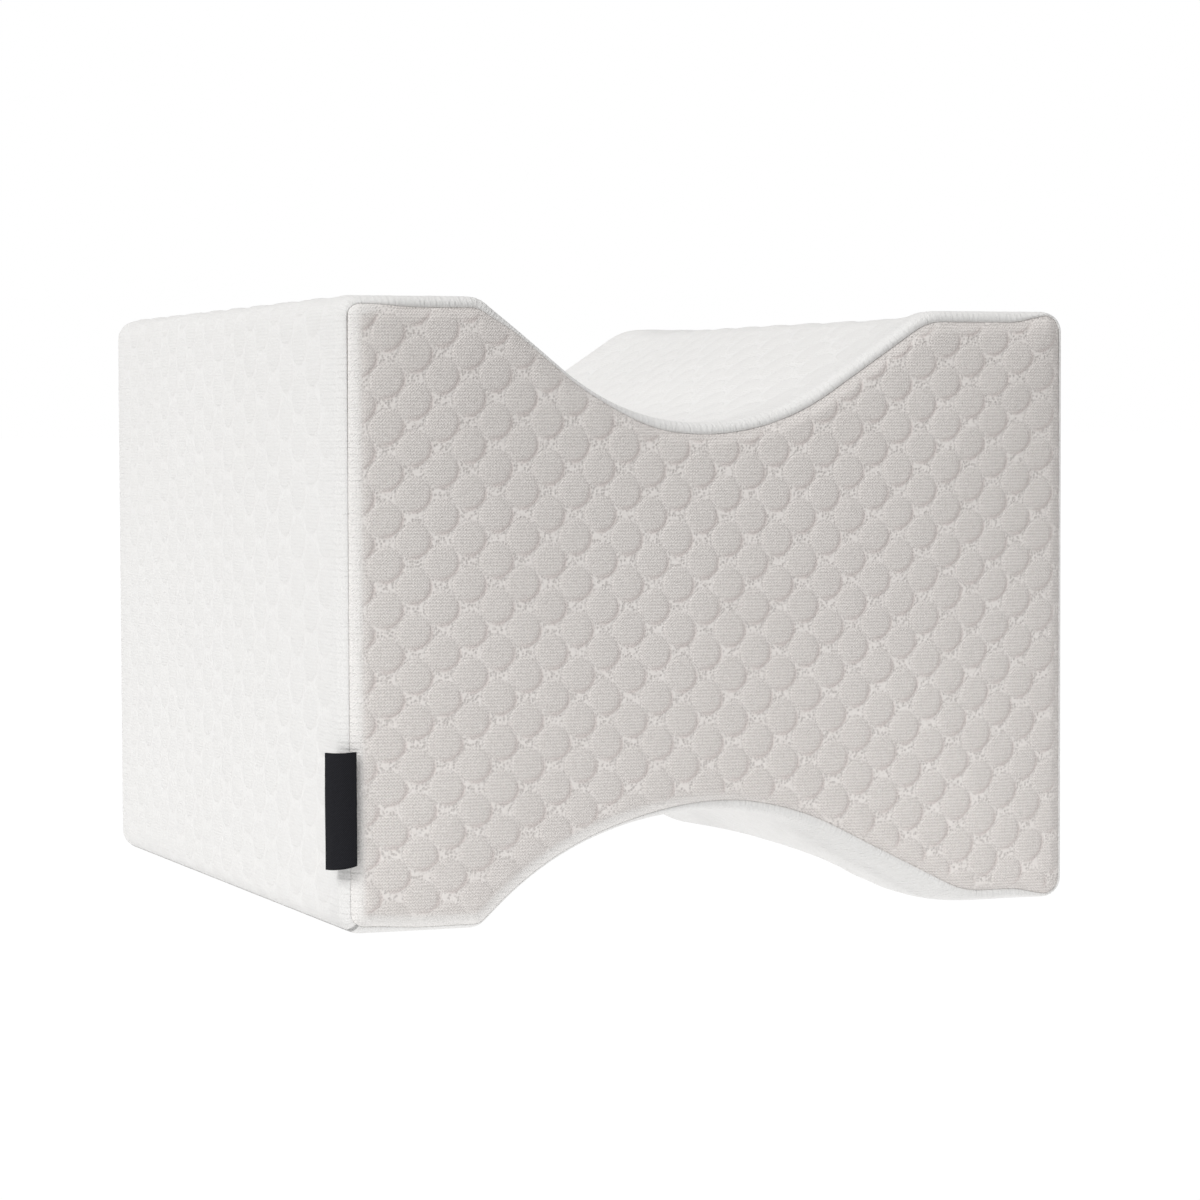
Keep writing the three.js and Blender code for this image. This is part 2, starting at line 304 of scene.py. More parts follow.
@dataclass(frozen=True)
class Arc:
    """A round stretch of the outline, in millimetres and radians."""

    x: float
    z: float
    radius: float
    start: float
    end: float
    is_hollow: bool = False

    def points(self, inset: float, spacing: float) -> Array:
        """Points along the arc.

        Args:
            inset: How far the outline is drawn in.
            spacing: The longest step on the arc before it is drawn in.

        Returns:
            The points (x, z), as many at every inset.
        """
        steps = max(2, math.ceil(abs(self.end - self.start) * self.radius / spacing))
        angle = np.linspace(self.start, self.end, steps + 1)
        drawn = self.radius + inset if self.is_hollow else self.radius - inset
        return np.stack([self.x + drawn * np.cos(angle), self.z + drawn * np.sin(angle)], -1)

    def turned_over(self, height: float) -> "Arc":
        """The same arc on the other side of the cushion's height."""
        return Arc(self.x, height - self.z, self.radius, -self.end, -self.start, self.is_hollow)


@dataclass(frozen=True)
class Flank:
    """One side of a hollow: its shoulder's place and radius, and how far the flat beyond it rises."""

    half_width: float
    shoulder: float
    rise: float = 0.0


@dataclass(frozen=True)
class Hollow:
    """A round trough with a straight flank and a rounded shoulder on each side."""

    middle: float
    depth: float
    radius: float
    left: Flank
    right: Flank

    def slope(self, flank: Flank) -> float:
        """Slope of the straight flank, in radians."""
        drop = self.radius - self.depth - flank.rise + flank.shoulder
        between = math.hypot(flank.half_width, drop)
        return math.atan2(flank.half_width, drop) - math.acos((self.radius + flank.shoulder) / between)

    def arcs(self) -> list[Arc]:
        """The left shoulder, the trough and the right shoulder, over a level floor."""
        left, right = self.slope(self.left), self.slope(self.right)

        def shoulder(flank: Flank, way: int, start: float, end: float) -> Arc:
            """The rounded shoulder of one side."""
            x = self.middle + way * flank.half_width
            return Arc(x, flank.shoulder - flank.rise, flank.shoulder, start, end)

        start, end = QUARTER_TURN + left, QUARTER_TURN - right
        trough = Arc(self.middle, self.depth - self.radius, self.radius, start, end, True)
        return [
            shoulder(self.left, -1, -QUARTER_TURN, left - QUARTER_TURN),
            trough,
            shoulder(self.right, 1, -QUARTER_TURN - right, -QUARTER_TURN),
        ]


@dataclass(frozen=True)
class Outline:
    """The hourglass outline of the cushion, as seen from the front."""

    width: float = 203.6
    depth: float = 224.0
    height: float = 158.0
    left_rise: float = 2.8
    corner: float = 5.6
    top: Hollow = Hollow(-2.8, 29.4, 61.6, Flank(64.4, 7.7, 2.8), Flank(68.2, 16.8))
    under: Hollow = Hollow(-2.2, 27.5, 84.0, Flank(64.6, 5.0), Flank(80.5, 24.6))

    def arcs(self) -> list[Arc]:
        """The round stretches in order, anticlockwise from the lower left corner."""
        side, high, r = self.width / 2 - self.corner, self.height - self.corner, self.corner
        return [
            Arc(-side, r, r, -2 * QUARTER_TURN, -QUARTER_TURN),
            *self.under.arcs(),
            Arc(side, r, r, -QUARTER_TURN, 0),
            Arc(side, high, r, 0, QUARTER_TURN),
            *[arc.turned_over(self.height) for arc in reversed(self.top.arcs())],
            Arc(-side, high + self.left_rise, r, QUARTER_TURN, 2 * QUARTER_TURN),
        ]

    def ring(self, inset: float, spacing: float) -> Array:
        """The outline drawn in by an inset.

        Args:
            inset: How far it is drawn in.
            spacing: The longest step between two points.

        Returns:
            The points (x, z), as many at every inset.
        """
        plain = [arc.points(0, spacing) for arc in self.arcs()]
        drawn = [arc.points(inset, spacing) for arc in self.arcs()]
        parts = []
        for i, stretch in enumerate(drawn):
            after = (i + 1) % len(drawn)
            steps = max(1, math.ceil(np.linalg.norm(plain[after][0] - plain[i][-1]) / spacing))
            share = np.linspace(0, 1, steps + 1)[1:-1, None]
            parts += [stretch, stretch[-1] + share * (drawn[after][0] - stretch[-1])]
        return np.vstack(parts)


@dataclass(frozen=True)
class Slack:
    """How the stuffed cushion strays from its cut: its right flanks swing and its left lobe falls.

    Each table gives places from front to back and how far the flank is shifted to the right there.
    """

    under: Pairs = (
        *((-112.0, 0.0), (-108.0, -4.6), (-103.0, -9.6), (-85.0, -8.6), (-55.0, -2.0)),
        *((-20.0, 4.7), (30.0, 11.5), (75.0, 14.0), (112.0, 9.0)),
    )
    top: Pairs = ((-112.0, 0.0), (-95.0, 2.1), (-60.0, 0.4), (0.0, -1.8), (60.0, 0.5), (112.0, 3.2))
    back_fall: float = 1.07
    steps: int = 12

    def shift(self, table: Pairs, y: Array) -> Array:
        """The shift at places from front to back, on a smooth line through a table."""
        line = smooth_path(table, self.steps)
        return np.interp(y, line[:, 0], line[:, 1])

    def moved(self, points: Array, outline: Outline) -> Array:
        """Moves points of the cut shape to where the stuffed cushion holds them.

        Args:
            points: The points (x, y, z).
            outline: The cushion's outline.

        Returns:
            The moved points.
        """
        x, y, z = points.T
        on_flank = smoothstep(x, 8, 45) * (1 - smoothstep(x, 66, 98))
        low, high = 1 - smoothstep(z, 25, 70), smoothstep(z, 90, 130)
        shift = low * self.shift(self.under, y) + high * self.shift(self.top, y)
        backward = np.clip(y / outline.depth + 0.5, 0, 1)
        fall = self.back_fall * (1 - smoothstep(x, -70, -20)) * high * backward * z / outline.height
        return np.stack([x + on_flank * shift, y, z - fall], -1)


@dataclass(frozen=True)
class Crease:
    """The turned seam between the band and an end panel, as insets and setbacks in millimetres."""

    inset: float = 3.1
    valley: float = 0.9
    soft_valley: float = 1.9
    right_share: float = 0.4
    left_share: float = 0.72
    flank_share: float = 0.45
    rolled: Pairs = (
        *((3.1, 5.0), (3.1, 1.9), (3.1, 1.3), (3.02, 0.95), (2.7, 0.7)),
        *((2.0, 0.6), (1.0, 1.3), (0.2, 3.2), (0.0, 6.0)),
    )
    bevelled: Pairs = (
        *((3.1, 5.4), (3.1, 3.2), (3.1, 2.3), (3.0, 1.95), (2.6, 1.95)),
        *((1.8, 2.5), (0.9, 3.7), (0.2, 5.0), (0.0, 6.4)),
    )

    def shares(self, place: Array, outline: Outline) -> tuple[Array, Array]:
        """How near to the edge the seam lies, and how rolled it is.

        It lies close down both sides, on the left flank of the top hollow and round the left foot. It is
        soft down the left side and round that foot.

        Args:
            place: The places (x, z).
            outline: The cushion's outline.

        Returns:
            The share of the full inset at each place, and that of the full depth.
        """
        x, z = place.T
        from_left = outline.width / 2 + x
        beside = smoothstep(from_left, 6, 22)
        low = 1 - smoothstep(z, 26, 60)
        by_right = (1 - self.right_share) * (1 - smoothstep(outline.width / 2 - x, 4, 16))
        by_left = (1 - self.left_share) * (1 - beside)
        on_flank = smoothstep(x, -66, -52) * (1 - smoothstep(x, -34, -12)) * smoothstep(z, 90, 110)
        by_foot = beside * (1 - smoothstep(x, -30, 10)) * low
        inset = 1 - by_right - by_left - (1 - self.flank_share) * (on_flank + by_foot)
        return inset, np.minimum(smoothstep(from_left, 3.5, 16), 1 - low * (1 - smoothstep(x, -40, 30)))


@dataclass(frozen=True)
class Knit:
    """The lattice of the bubble knit, in millimetres: dots lie on every other point of its half pitches.

    The stray terms are polynomials over the panel, for how far the stretched cloth carries the dots.
    """

    half_column: float = 7.0765
    half_row: float = 5.7335
    first_across: float = -0.4334
    first_up: float = 0.1112
    lean: float = 0.02666
    rise: tuple[float, float, float] = (-0.00839, 4.995e-4, 4.087e-6)
    stray_across: tuple[float, ...] = (1.39, -0.62, -0.2, -1.04, -1.2, 2.45, 1.4, 1.04, 1.06)
    stray_up: tuple[float, ...] = (-0.68, -0.64, 1.72, -1.6, -0.42, 0.24, -5.2, -1.8, 1.6)

    def on_panel(self, x: Array, z: Array, height: float) -> Array:
        """Where points of an end panel lie in the lattice.

        Args:
            x: Their places across.
            z: Their levels.
            height: The cushion's height.

        Returns:
            Their half columns, half rows and nothing.
        """
        u, v = x / 100, 2 * z / height - 1
        terms = np.stack([np.ones_like(u), u, v, u * v, u**2, v**2, u**2 * v, u * v**2, u**3], -1)
        x, z = x - terms @ np.array(self.stray_across), z - terms @ np.array(self.stray_up)
        slope, sag, climb = self.rise
        level = z - (slope * x + sag * x**2 + climb * x**3)
        across = (x - self.lean * (height / 2 - level)) / self.half_column - 2 * self.first_across
        up = level / self.half_row - 2 * self.first_up
        return np.stack([across, up, np.zeros_like(x)], -1)


@dataclass(frozen=True)
class BandKnit:
    """The same knit on the band, pulled wide towards the front seam where the cover was turned."""

    half_column: float = 9.82
    half_row: float = 6.1215
    first_across: float = -0.0239
    first_up: float = 0.3332
    lean: float = 0.04104
    pull: float = 10.214
    rise: tuple[float, float, float] = (1.1906, -0.6423, 0.9117)
    spread: float = 0.02833
    side_fade: float = 60.0

    def on_band(self, along: Array, y: Array, around: float, height: float) -> Array:
        """Where points of the band lie in the lattice.

        Args:
            along: Their distance round the outline, up the left side and on over the top.
            y: Their place from front to back.
            around: The whole distance round.
            height: The cushion's height.

        Returns:
            Their half columns, half rows and nothing.
        """
        forward = -y
        t = forward / 100
        over, last = np.maximum(along - height, 0), around - self.side_fade
        on_side = 1 - smoothstep(over, 0, self.side_fade) + smoothstep(along, last, around)
        pitch = 2 * self.half_row
        beyond = around - height
        beyond_pitch = beyond / round(beyond / pitch)
        rows = np.where(along < height, along / pitch, height / pitch + (along - height) / beyond_pitch)
        a, b, c = self.rise
        level = np.where(along > last, along - around, along)
        bent = (level - (a * t + b * t**2 + c * t**3)) / (pitch * (1 + self.spread * t)) - level / pitch
        up = 2 * (rows + bent * np.clip(on_side, 0, 1) - self.first_up)
        lean = self.lean * (np.clip(level, 0, height) - height / 2)
        across = (forward - lean - self.pull * t**2) / self.half_column - 2 * self.first_across
        return np.stack([across, up, np.zeros_like(y)], -1)


@dataclass(frozen=True)
class Bubbles:
    """The raised dots of a knit."""

    height: float = 0.44
    crown: float = 0.55
    rim_from: float = 0.8
    rim_to: float = 1.08
    uneven: float = 0.06

    SIZES = ("Dot Height", "Dot Crown", "Rim From", "Rim To", "Unevenness", "Half Column", "Half Row")

    @staticmethod
    def tree() -> Tree:
        """Builds the group that raises the dots of a mesh."""
        takes = {"Cloth": "shape"} | dict.fromkeys(Bubbles.SIZES, "number") | {"Finish": "material"}
        sheet = NodeGroup("bubble_knit_relief", takes, {"Cloth": "shape"}, GroupKind.SHAPE)
        taken = sheet.taken
        lattice, shown = (
            sheet.node("GeometryNodeInputNamedAttribute", {"Name": name}, data_type=kind).outputs[0]
            for name, kind in (("lattice", "FLOAT_VECTOR"), ("shown", "FLOAT"))
        )
        whole, off = sheet.from_dot(lattice)
        which = sheet.node("ShaderNodeCombineXYZ", {0: whole[0], 1: whole[1]}).outputs[0]
        chance = sheet.node("ShaderNodeTexWhiteNoise", {0: which}, noise_dimensions="2D").outputs
        nudge = sheet.split(chance[1])
        square = []
        for way, size, part in (("ADD", "Half Column", 0), ("SUBTRACT", "Half Row", 1)):
            shift = sheet.times(sheet.maths("SUBTRACT", nudge[part], 0.5), taken["Unevenness"])
            distance = sheet.times(sheet.maths("ADD", sheet.maths(way, *off), shift), taken[size])
            square.append(sheet.times(distance, distance))
        across = sheet.maths("SQRT", sheet.maths("ADD", *square))
        touch = sheet.touch(taken["Half Column"], taken["Half Row"])
        growth = sheet.scaled(sheet.maths("SUBTRACT", nudge[2], 0.5), taken["Unevenness"], 1.0)
        reach = sheet.maths("DIVIDE", across, sheet.times(touch, growth))
        dot = sheet.eased(reach, taken["Rim To"], taken["Rim From"])
        fall = sheet.times(sheet.times(reach, reach), taken["Dot Crown"])
        dome = sheet.times(dot, sheet.maths("SUBTRACT", 1.0, fall))
        height = sheet.times(taken["Dot Height"], MM)
        lift = sheet.times(sheet.times(dome, shown), height)
        out = sheet.node("GeometryNodeInputNormal").outputs[0]
        offset = sheet.node("ShaderNodeVectorMath", {0: out, "Scale": lift}, operation="SCALE").outputs[0]
        moved = {"Geometry": taken["Cloth"], "Offset": offset}
        raised = sheet.node("GeometryNodeSetPosition", moved).outputs[0]
        plain = sheet.node("GeometryNodeRealizeInstances", {"Geometry": raised}).outputs[0]
        dressed = sheet.node("GeometryNodeSetMaterial", {"Geometry": plain, "Material": taken["Finish"]})
        sheet.give("Cloth", dressed.outputs[0])
        return sheet.tree

    def raise_on(self, piece: Piece, tree: Tree, knit: Knit | BandKnit, finish: Material) -> None:
        """Raises the dots on a piece, where its knit has them, and gives it its finish."""
        own = (self.height, self.crown, self.rim_from, self.rim_to, self.uneven)
        sizes = dict(zip(self.SIZES, (*own, knit.half_column, knit.half_row)))
        apply_shape_group(piece, tree, sizes | {"Finish": finish})


def new_finish(name: str) -> tuple[Material, NodeSheet, bpy.types.Node]:
    """Starts a material, with its sheet of nodes and its shader."""
    made = bpy.data.materials.new(name)
    made.use_nodes = True
    return made, NodeSheet(made.node_tree), made.node_tree.nodes["Principled BSDF"]


@dataclass(frozen=True)
class KnitTexture:
    """Shader groups that the knitted finishes share."""

    wobble_scale: float = 0.9
    wobble: float = 0.35
    fluff_scale: float = 2.1
    break_gain: float = 2.2
    break_base: float = -0.3
    loose_gain: float = 4.6
    ridge_share: float = 0.5
    # The painted shadow on each dot's lower right: its inner and outer reach, and how far round the rim
    # it runs.
    dot_shadow_inner: Span = (0.68, 0.95)
    dot_shadow_outer: Span = (1.14, 1.0)
    dot_shadow_turn: Span = (0.2, 1.35)
    hole_spread: float = 0.75
    hole_edges: Span = (0.1, 0.68)
    patch_scale: float = 22.0
    fibre_scale: float = 900.0
    fibre_share: float = 0.6
    tone_range: Span = (0.3, 0.7)

    def groups(self) -> dict[str, Tree]:
        """Builds every group, by name."""
        return {made.__name__: made() for made in (self.wales, self.dots, self.open_mesh, self.tone)}

    def wales(self) -> Tree:
        """Builds the fine stitches of plain knit: upright wales of slanted loops."""
        takes = {"Cloth": "vector", "Wale": "number", "Course": "number"}
        sheet = NodeGroup("knit_wales", takes, {"Height": "number"})
        taken = sheet.taken
        place = sheet.split(taken["Cloth"])
        wobble = sheet.noise(taken["Cloth"], self.wobble_scale, 1.0)
        across = sheet.scaled(wobble, self.wobble, place[0])
        turns = sheet.maths("DIVIDE", across, taken["Wale"])
        slant = sheet.maths("PINGPONG", turns, 0.5)
        ridge = sheet.maths("ABSOLUTE", sheet.maths("SINE", sheet.times(turns, math.pi)))
        row = sheet.maths("ADD", slant, sheet.maths("DIVIDE", place[1], taken["Course"]))
        loop = sheet.maths("SINE", sheet.times(row, 2 * math.pi))
        fluff = sheet.noise(taken["Cloth"], self.fluff_scale, 2.0)
        gaps = sheet.scaled(fluff, self.break_gain, self.break_base)
        loose = sheet.scaled(fluff, self.loose_gain, -self.loose_gain / 2)
        uneven = sheet.scaled(loop, gaps, loose)
        sheet.give("Height", sheet.scaled(ridge, self.ridge_share, uneven))
        return sheet.tree

    def dots(self) -> Tree:
        """Builds the measure of a dot: how far off its middle is, and the painted shadow on its lower
        right.
        """
        takes = {"Lattice": "vector", "Half Column": "number", "Half Row": "number"}
        gives = {"Reach": "number", "Dot Shadow": "number"}
        sheet = NodeGroup("dot_measure", takes, gives)
        column, row = sheet.taken["Half Column"], sheet.taken["Half Row"]
        off = sheet.from_dot(sheet.taken["Lattice"])[1]
        across = sheet.times(sheet.maths("ADD", *off), column)
        up = sheet.times(sheet.maths("SUBTRACT", *off), row)
        square = sheet.scaled(across, across, sheet.times(up, up))
        away = sheet.maths("SQRT", square)
        reach = sheet.maths("DIVIDE", away, sheet.touch(column, row))
        slope = sheet.maths("SUBTRACT", across, up)
        shaded_side = sheet.maths("DIVIDE", slope, sheet.maths("MAXIMUM", away, 0.5))
        inner, outer = sheet.eased(reach, *self.dot_shadow_inner), sheet.eased(reach, *self.dot_shadow_outer)
        sheet.give("Reach", reach)
        # Painted shadow: darker towards each dot's lower right rim, away from the light.
        low_right = sheet.eased(shaded_side, *self.dot_shadow_turn)
        sheet.give("Dot Shadow", sheet.times(sheet.times(inner, outer), low_right))
        return sheet.tree

    def open_mesh(self) -> Tree:
        """Builds the open grain between the dots, where the yarns cross with small holes."""
        takes = {"Cloth": "vector", "Grain": "number"}
        sheet = NodeGroup("open_mesh", takes, {"Height": "number"})
        size = sheet.maths("DIVIDE", 1.0, sheet.taken["Grain"])
        inputs = {"Vector": sheet.taken["Cloth"], "Scale": size, "Randomness": self.hole_spread}
        holes = sheet.node("ShaderNodeTexVoronoi", inputs).outputs["Distance"]
        sheet.give("Height", sheet.eased(holes, *self.hole_edges))
        return sheet.tree

    def tone(self) -> Tree:
        """Builds the uneven tone of washed cloth, in broad patches and in fine fibres."""
        takes = {"Place": "vector", "Colour": "colour", "Shade": "colour", "Amount": "number"}
        sheet = NodeGroup("cloth_tone", takes, {"Colour": "colour"})
        taken = sheet.taken
        broad = sheet.times(sheet.noise(taken["Place"], self.patch_scale, 2.0), 1 - self.fibre_share)
        fine = sheet.noise(taken["Place"], self.fibre_scale, 2.0)
        both = sheet.scaled(fine, self.fibre_share, broad)
        share = sheet.times(sheet.eased(both, *self.tone_range), taken["Amount"])
        sheet.give("Colour", sheet.tint(share, taken["Colour"], taken["Shade"]))
        return sheet.tree


@dataclass(frozen=True)
class KnitFinish:
    """Off-white bubble knit. Depths are in millimetres."""

    name: str
    knit: Knit | BandKnit
    colour: Colour
    shade: Colour
    # Colour of the painted shadow on each dot's lower right.
    dot_shadow_colour: Colour
    # Colour of the painted shade between the stitches and in the holes of the open mesh.
    between: Colour
    rim_depth: float
    # Colour of the painted highlight along the soft rolled edge of the panels' seams.
    rolled_edge_highlight: Colour = (0.93, 0.912, 0.892, 1)
    rim: Span = (1.0, 0.86)
    opening: Span = (0.92, 1.12)
    wale: float = 0.8
    course: float = 0.83
    grain: float = 0.75
    wale_depth: float = 0.055
    grain_depth: float = 0.18
    course_pitch: float = 1.6
    course_depth: float = 0.035
    course_wander: float = 1.6
    stretched_grain: float = 0.06
    tone_share: float = 0.6
    dot_shadow_share: float = 0.5
    # How strong the painted stitch shade is, and over what height it runs.
    stitch_shade_share: float = 0.6
    mesh_gain: float = 1.9
    stitch_shade_range: Span = (0.95, -0.55)
    roughness: float = 0.95
    sheen: float = 0.12

    def material(self, groups: Mapping[str, Tree]) -> Material:
        """Makes the material.

        Args:
            groups: The shared shader groups by name.

        Returns:
            The material.
        """
        made, sheet, shader = new_finish(self.name)
        cloth, lattice = sheet.kept("cloth", "Vector"), sheet.kept("lattice", "Vector")
        shown, ribbed, rolled = (sheet.kept(name, "Fac") for name in ("shown", "ribbed", "rolled"))
        place = sheet.node("ShaderNodeTexCoord").outputs["Object"]
        loops = {"Cloth": cloth, "Wale": self.wale, "Course": self.course}
        wales = sheet.group(groups["wales"], loops)[0]
        grain = sheet.group(groups["open_mesh"], {"Cloth": cloth, "Grain": self.grain})[0]
        size = {"Lattice": lattice, "Half Column": self.knit.half_column, "Half Row": self.knit.half_row}
        reach, painted_dot_shadow = sheet.group(groups["dots"], size)
        rim = sheet.times(sheet.eased(reach, *self.rim), shown)
        open_share = sheet.eased(reach, *self.opening)
        fine, coarse = sheet.times(wales, self.wale_depth), sheet.times(grain, self.grain_depth)
        wander = sheet.noise(cloth, 0.35, 2.0)
        along = sheet.scaled(wander, self.course_wander, sheet.split(cloth)[1])
        courses = sheet.wave(along, self.course_pitch)
        raised = sheet.scaled(rim, self.rim_depth, sheet.blend(open_share, fine, coarse))
        flat = sheet.scaled(grain, self.stretched_grain, fine)
        stretched = sheet.scaled(courses, self.course_depth, flat)
        height = sheet.blend(ribbed, raised, stretched)
        tone = {"Place": place, "Colour": self.colour, "Shade": self.shade, "Amount": self.tone_share}
        pale = sheet.group(groups["tone"], tone)[0]
        # Painted shadow on each dot's lower right, mixed into the cloth's tone.
        shaded_side = sheet.times(painted_dot_shadow, sheet.times(shown, self.dot_shadow_share))
        lit = sheet.tint(shaded_side, pale, self.dot_shadow_colour)
        # Painted shade: darker between the stitches and in the holes of the open mesh.
        mesh = sheet.scaled(grain, self.mesh_gain, -1.0)
        between = sheet.eased(sheet.blend(open_share, wales, mesh), *self.stitch_shade_range)
        knitted = sheet.tint(sheet.times(between, self.stitch_shade_share), lit, self.between)
        bump = {"Height": height, "Strength": 1.0, "Distance": MM}
        looks = {
            # Painted highlight along the soft rolled seam edge.
            "Base Color": sheet.tint(rolled, knitted, self.rolled_edge_highlight),
            "Normal": sheet.node("ShaderNodeBump", bump).outputs[0],
            "Roughness": sheet.blend(open_share, self.roughness, 1.0),
            "Sheen Weight": self.sheen,
            "Sheen Roughness": 0.6,
            "Specular IOR Level": 0.25,
        }
        sheet.feed(shader, looks)
        return made


@dataclass(frozen=True)
class LabelFinish:
    """Black woven tape with a fine diagonal twill."""

    name: str = "black_woven_tape"
    colour: Colour = (0.005, 0.005, 0.007, 1)
    thread: Colour = (0.027, 0.0275, 0.033, 1)
    twill: float = 0.45
    cross_share: float = 0.4

    def material(self) -> Material:
        """Makes the material."""
        made, sheet, shader = new_finish(self.name)
        place = sheet.split(sheet.kept("cloth", "Vector"))
        slant = sheet.wave(sheet.maths("ADD", place[0], place[1]), self.twill)
        thread = sheet.wave(place[1], self.twill * 0.7)
        height = sheet.scaled(thread, self.cross_share, slant)
        bump = {"Height": height, "Strength": 0.5, "Distance": 0.1 * MM}
        looks = {
            "Base Color": sheet.tint(sheet.eased(height, -1.0, 1.4), self.colour, self.thread),
            "Normal": sheet.node("ShaderNodeBump", bump).outputs[0],
            "Roughness": sheet.eased(height, -1.4, 1.4, (0.85, 0.6)),
            "Specular IOR Level": 0.12,
        }
        sheet.feed(shader, looks)
        return made


@dataclass
class FilledBand:
    """The boxing band with its filling: rings of points from one seam crease to the other."""

    outline: Outline
    crease: Crease = Crease()
    knit: BandKnit = BandKnit()
    bubbles: Bubbles = Bubbles(height=0.34, rim_from=0.5)
    slack: Slack = Slack()
    spacing: float = 1.4
    draw: float = 1.7
    draw_levels: Span = (4.0, 34.0)
    draw_setbacks: Span = (3.8, 34.0)
    draw_across: Span = (-60.0, 20.0)
    dots_start: Span = (4.0, 15.0)
    dots_rise: Span = (0.3, 7.0)
    ribs_end: Span = (6.0, 20.0)

    def rows(self, lip: Sequence[Span]) -> Array:
        """The band's rows from the front to the back.

        Args:
            lip: The band's edge, as insets and setbacks.

        Returns:
            The inset and the setback from the front of each row.
        """
        edge = np.maximum(smooth_path(lip, 2), 0)
        last = edge[-1][1]
        flat = np.arange(last, self.outline.depth - last, self.spacing)[1:]
        middle = np.stack([np.zeros_like(flat), flat], -1)
        back = np.stack([edge[::-1, 0], self.outline.depth - edge[::-1, 1]], -1)
        return np.vstack([edge, middle, back])

    def build(self, raising: Tree, finish: Material) -> Piece:
        """Builds the band.

        Args:
            raising: The group that raises dots.
            finish: Its material.

        Returns:
            The band.
        """
        plain = self.outline.ring(0, self.spacing)
        inward = self.outline.ring(1, self.spacing) - plain
        narrowing, fullness = self.crease.shares(plain, self.outline)
        share = smoothstep(plain[:, 1], *self.draw_levels) * smoothstep(plain[:, 0], *self.draw_across)
        rings, backs = [], []
        for rolled, bevelled in zip(self.rows(self.crease.rolled), self.rows(self.crease.bevelled)):
            inset, setback = (bevelled + fullness[:, None] * (rolled - bevelled)).T
            depth = np.minimum(setback, self.outline.depth - setback)
            drawn = inset * narrowing + share * self.draw * smoothstep(depth, *self.draw_setbacks)
            ring = plain + drawn[:, None] * inward
            rings.append(np.stack([ring[:, 0], setback - self.outline.depth / 2, ring[:, 1]], -1))
            backs.append(depth)
        around = len(rings[0])
        points = self.slack.moved(np.vstack(rings), self.outline)
        faces = [face[::-1] for face in strip_faces(len(rings), around, True)]
        faces.append(list(range(around)))
        last = (len(rings) - 1) * around
        faces.append([last + i for i in range(around)][::-1])
        band = mesh_object("knit_band", points, faces)
        steps = np.linalg.norm(np.roll(plain, -1, 0) - plain, axis=1)
        total = float(steps.sum())
        start = np.concatenate([[0], np.cumsum(steps)[:-1]])
        along = np.tile((total - start) + self.outline.corner, len(rings))
        along = np.where(along > total, along - total, along)
        depth = np.concatenate(backs)
        side = self.outline.height + self.outline.left_rise
        keep_values(
            band,
            lattice=self.knit.on_band(along, points[:, 1], total, side),
            cloth=np.stack([points[:, 1], along, np.zeros_like(along)], -1),
            shown=smoothstep(depth, *self.dots_start) * smoothstep(points[:, 2], *self.dots_rise),
            ribbed=1 - smoothstep(depth, *self.ribs_end),
        )
        self.bubbles.raise_on(band, raising, self.knit, finish)
        log.info("%s: %d rings of %d points", band.name, len(rings), around)
        return band


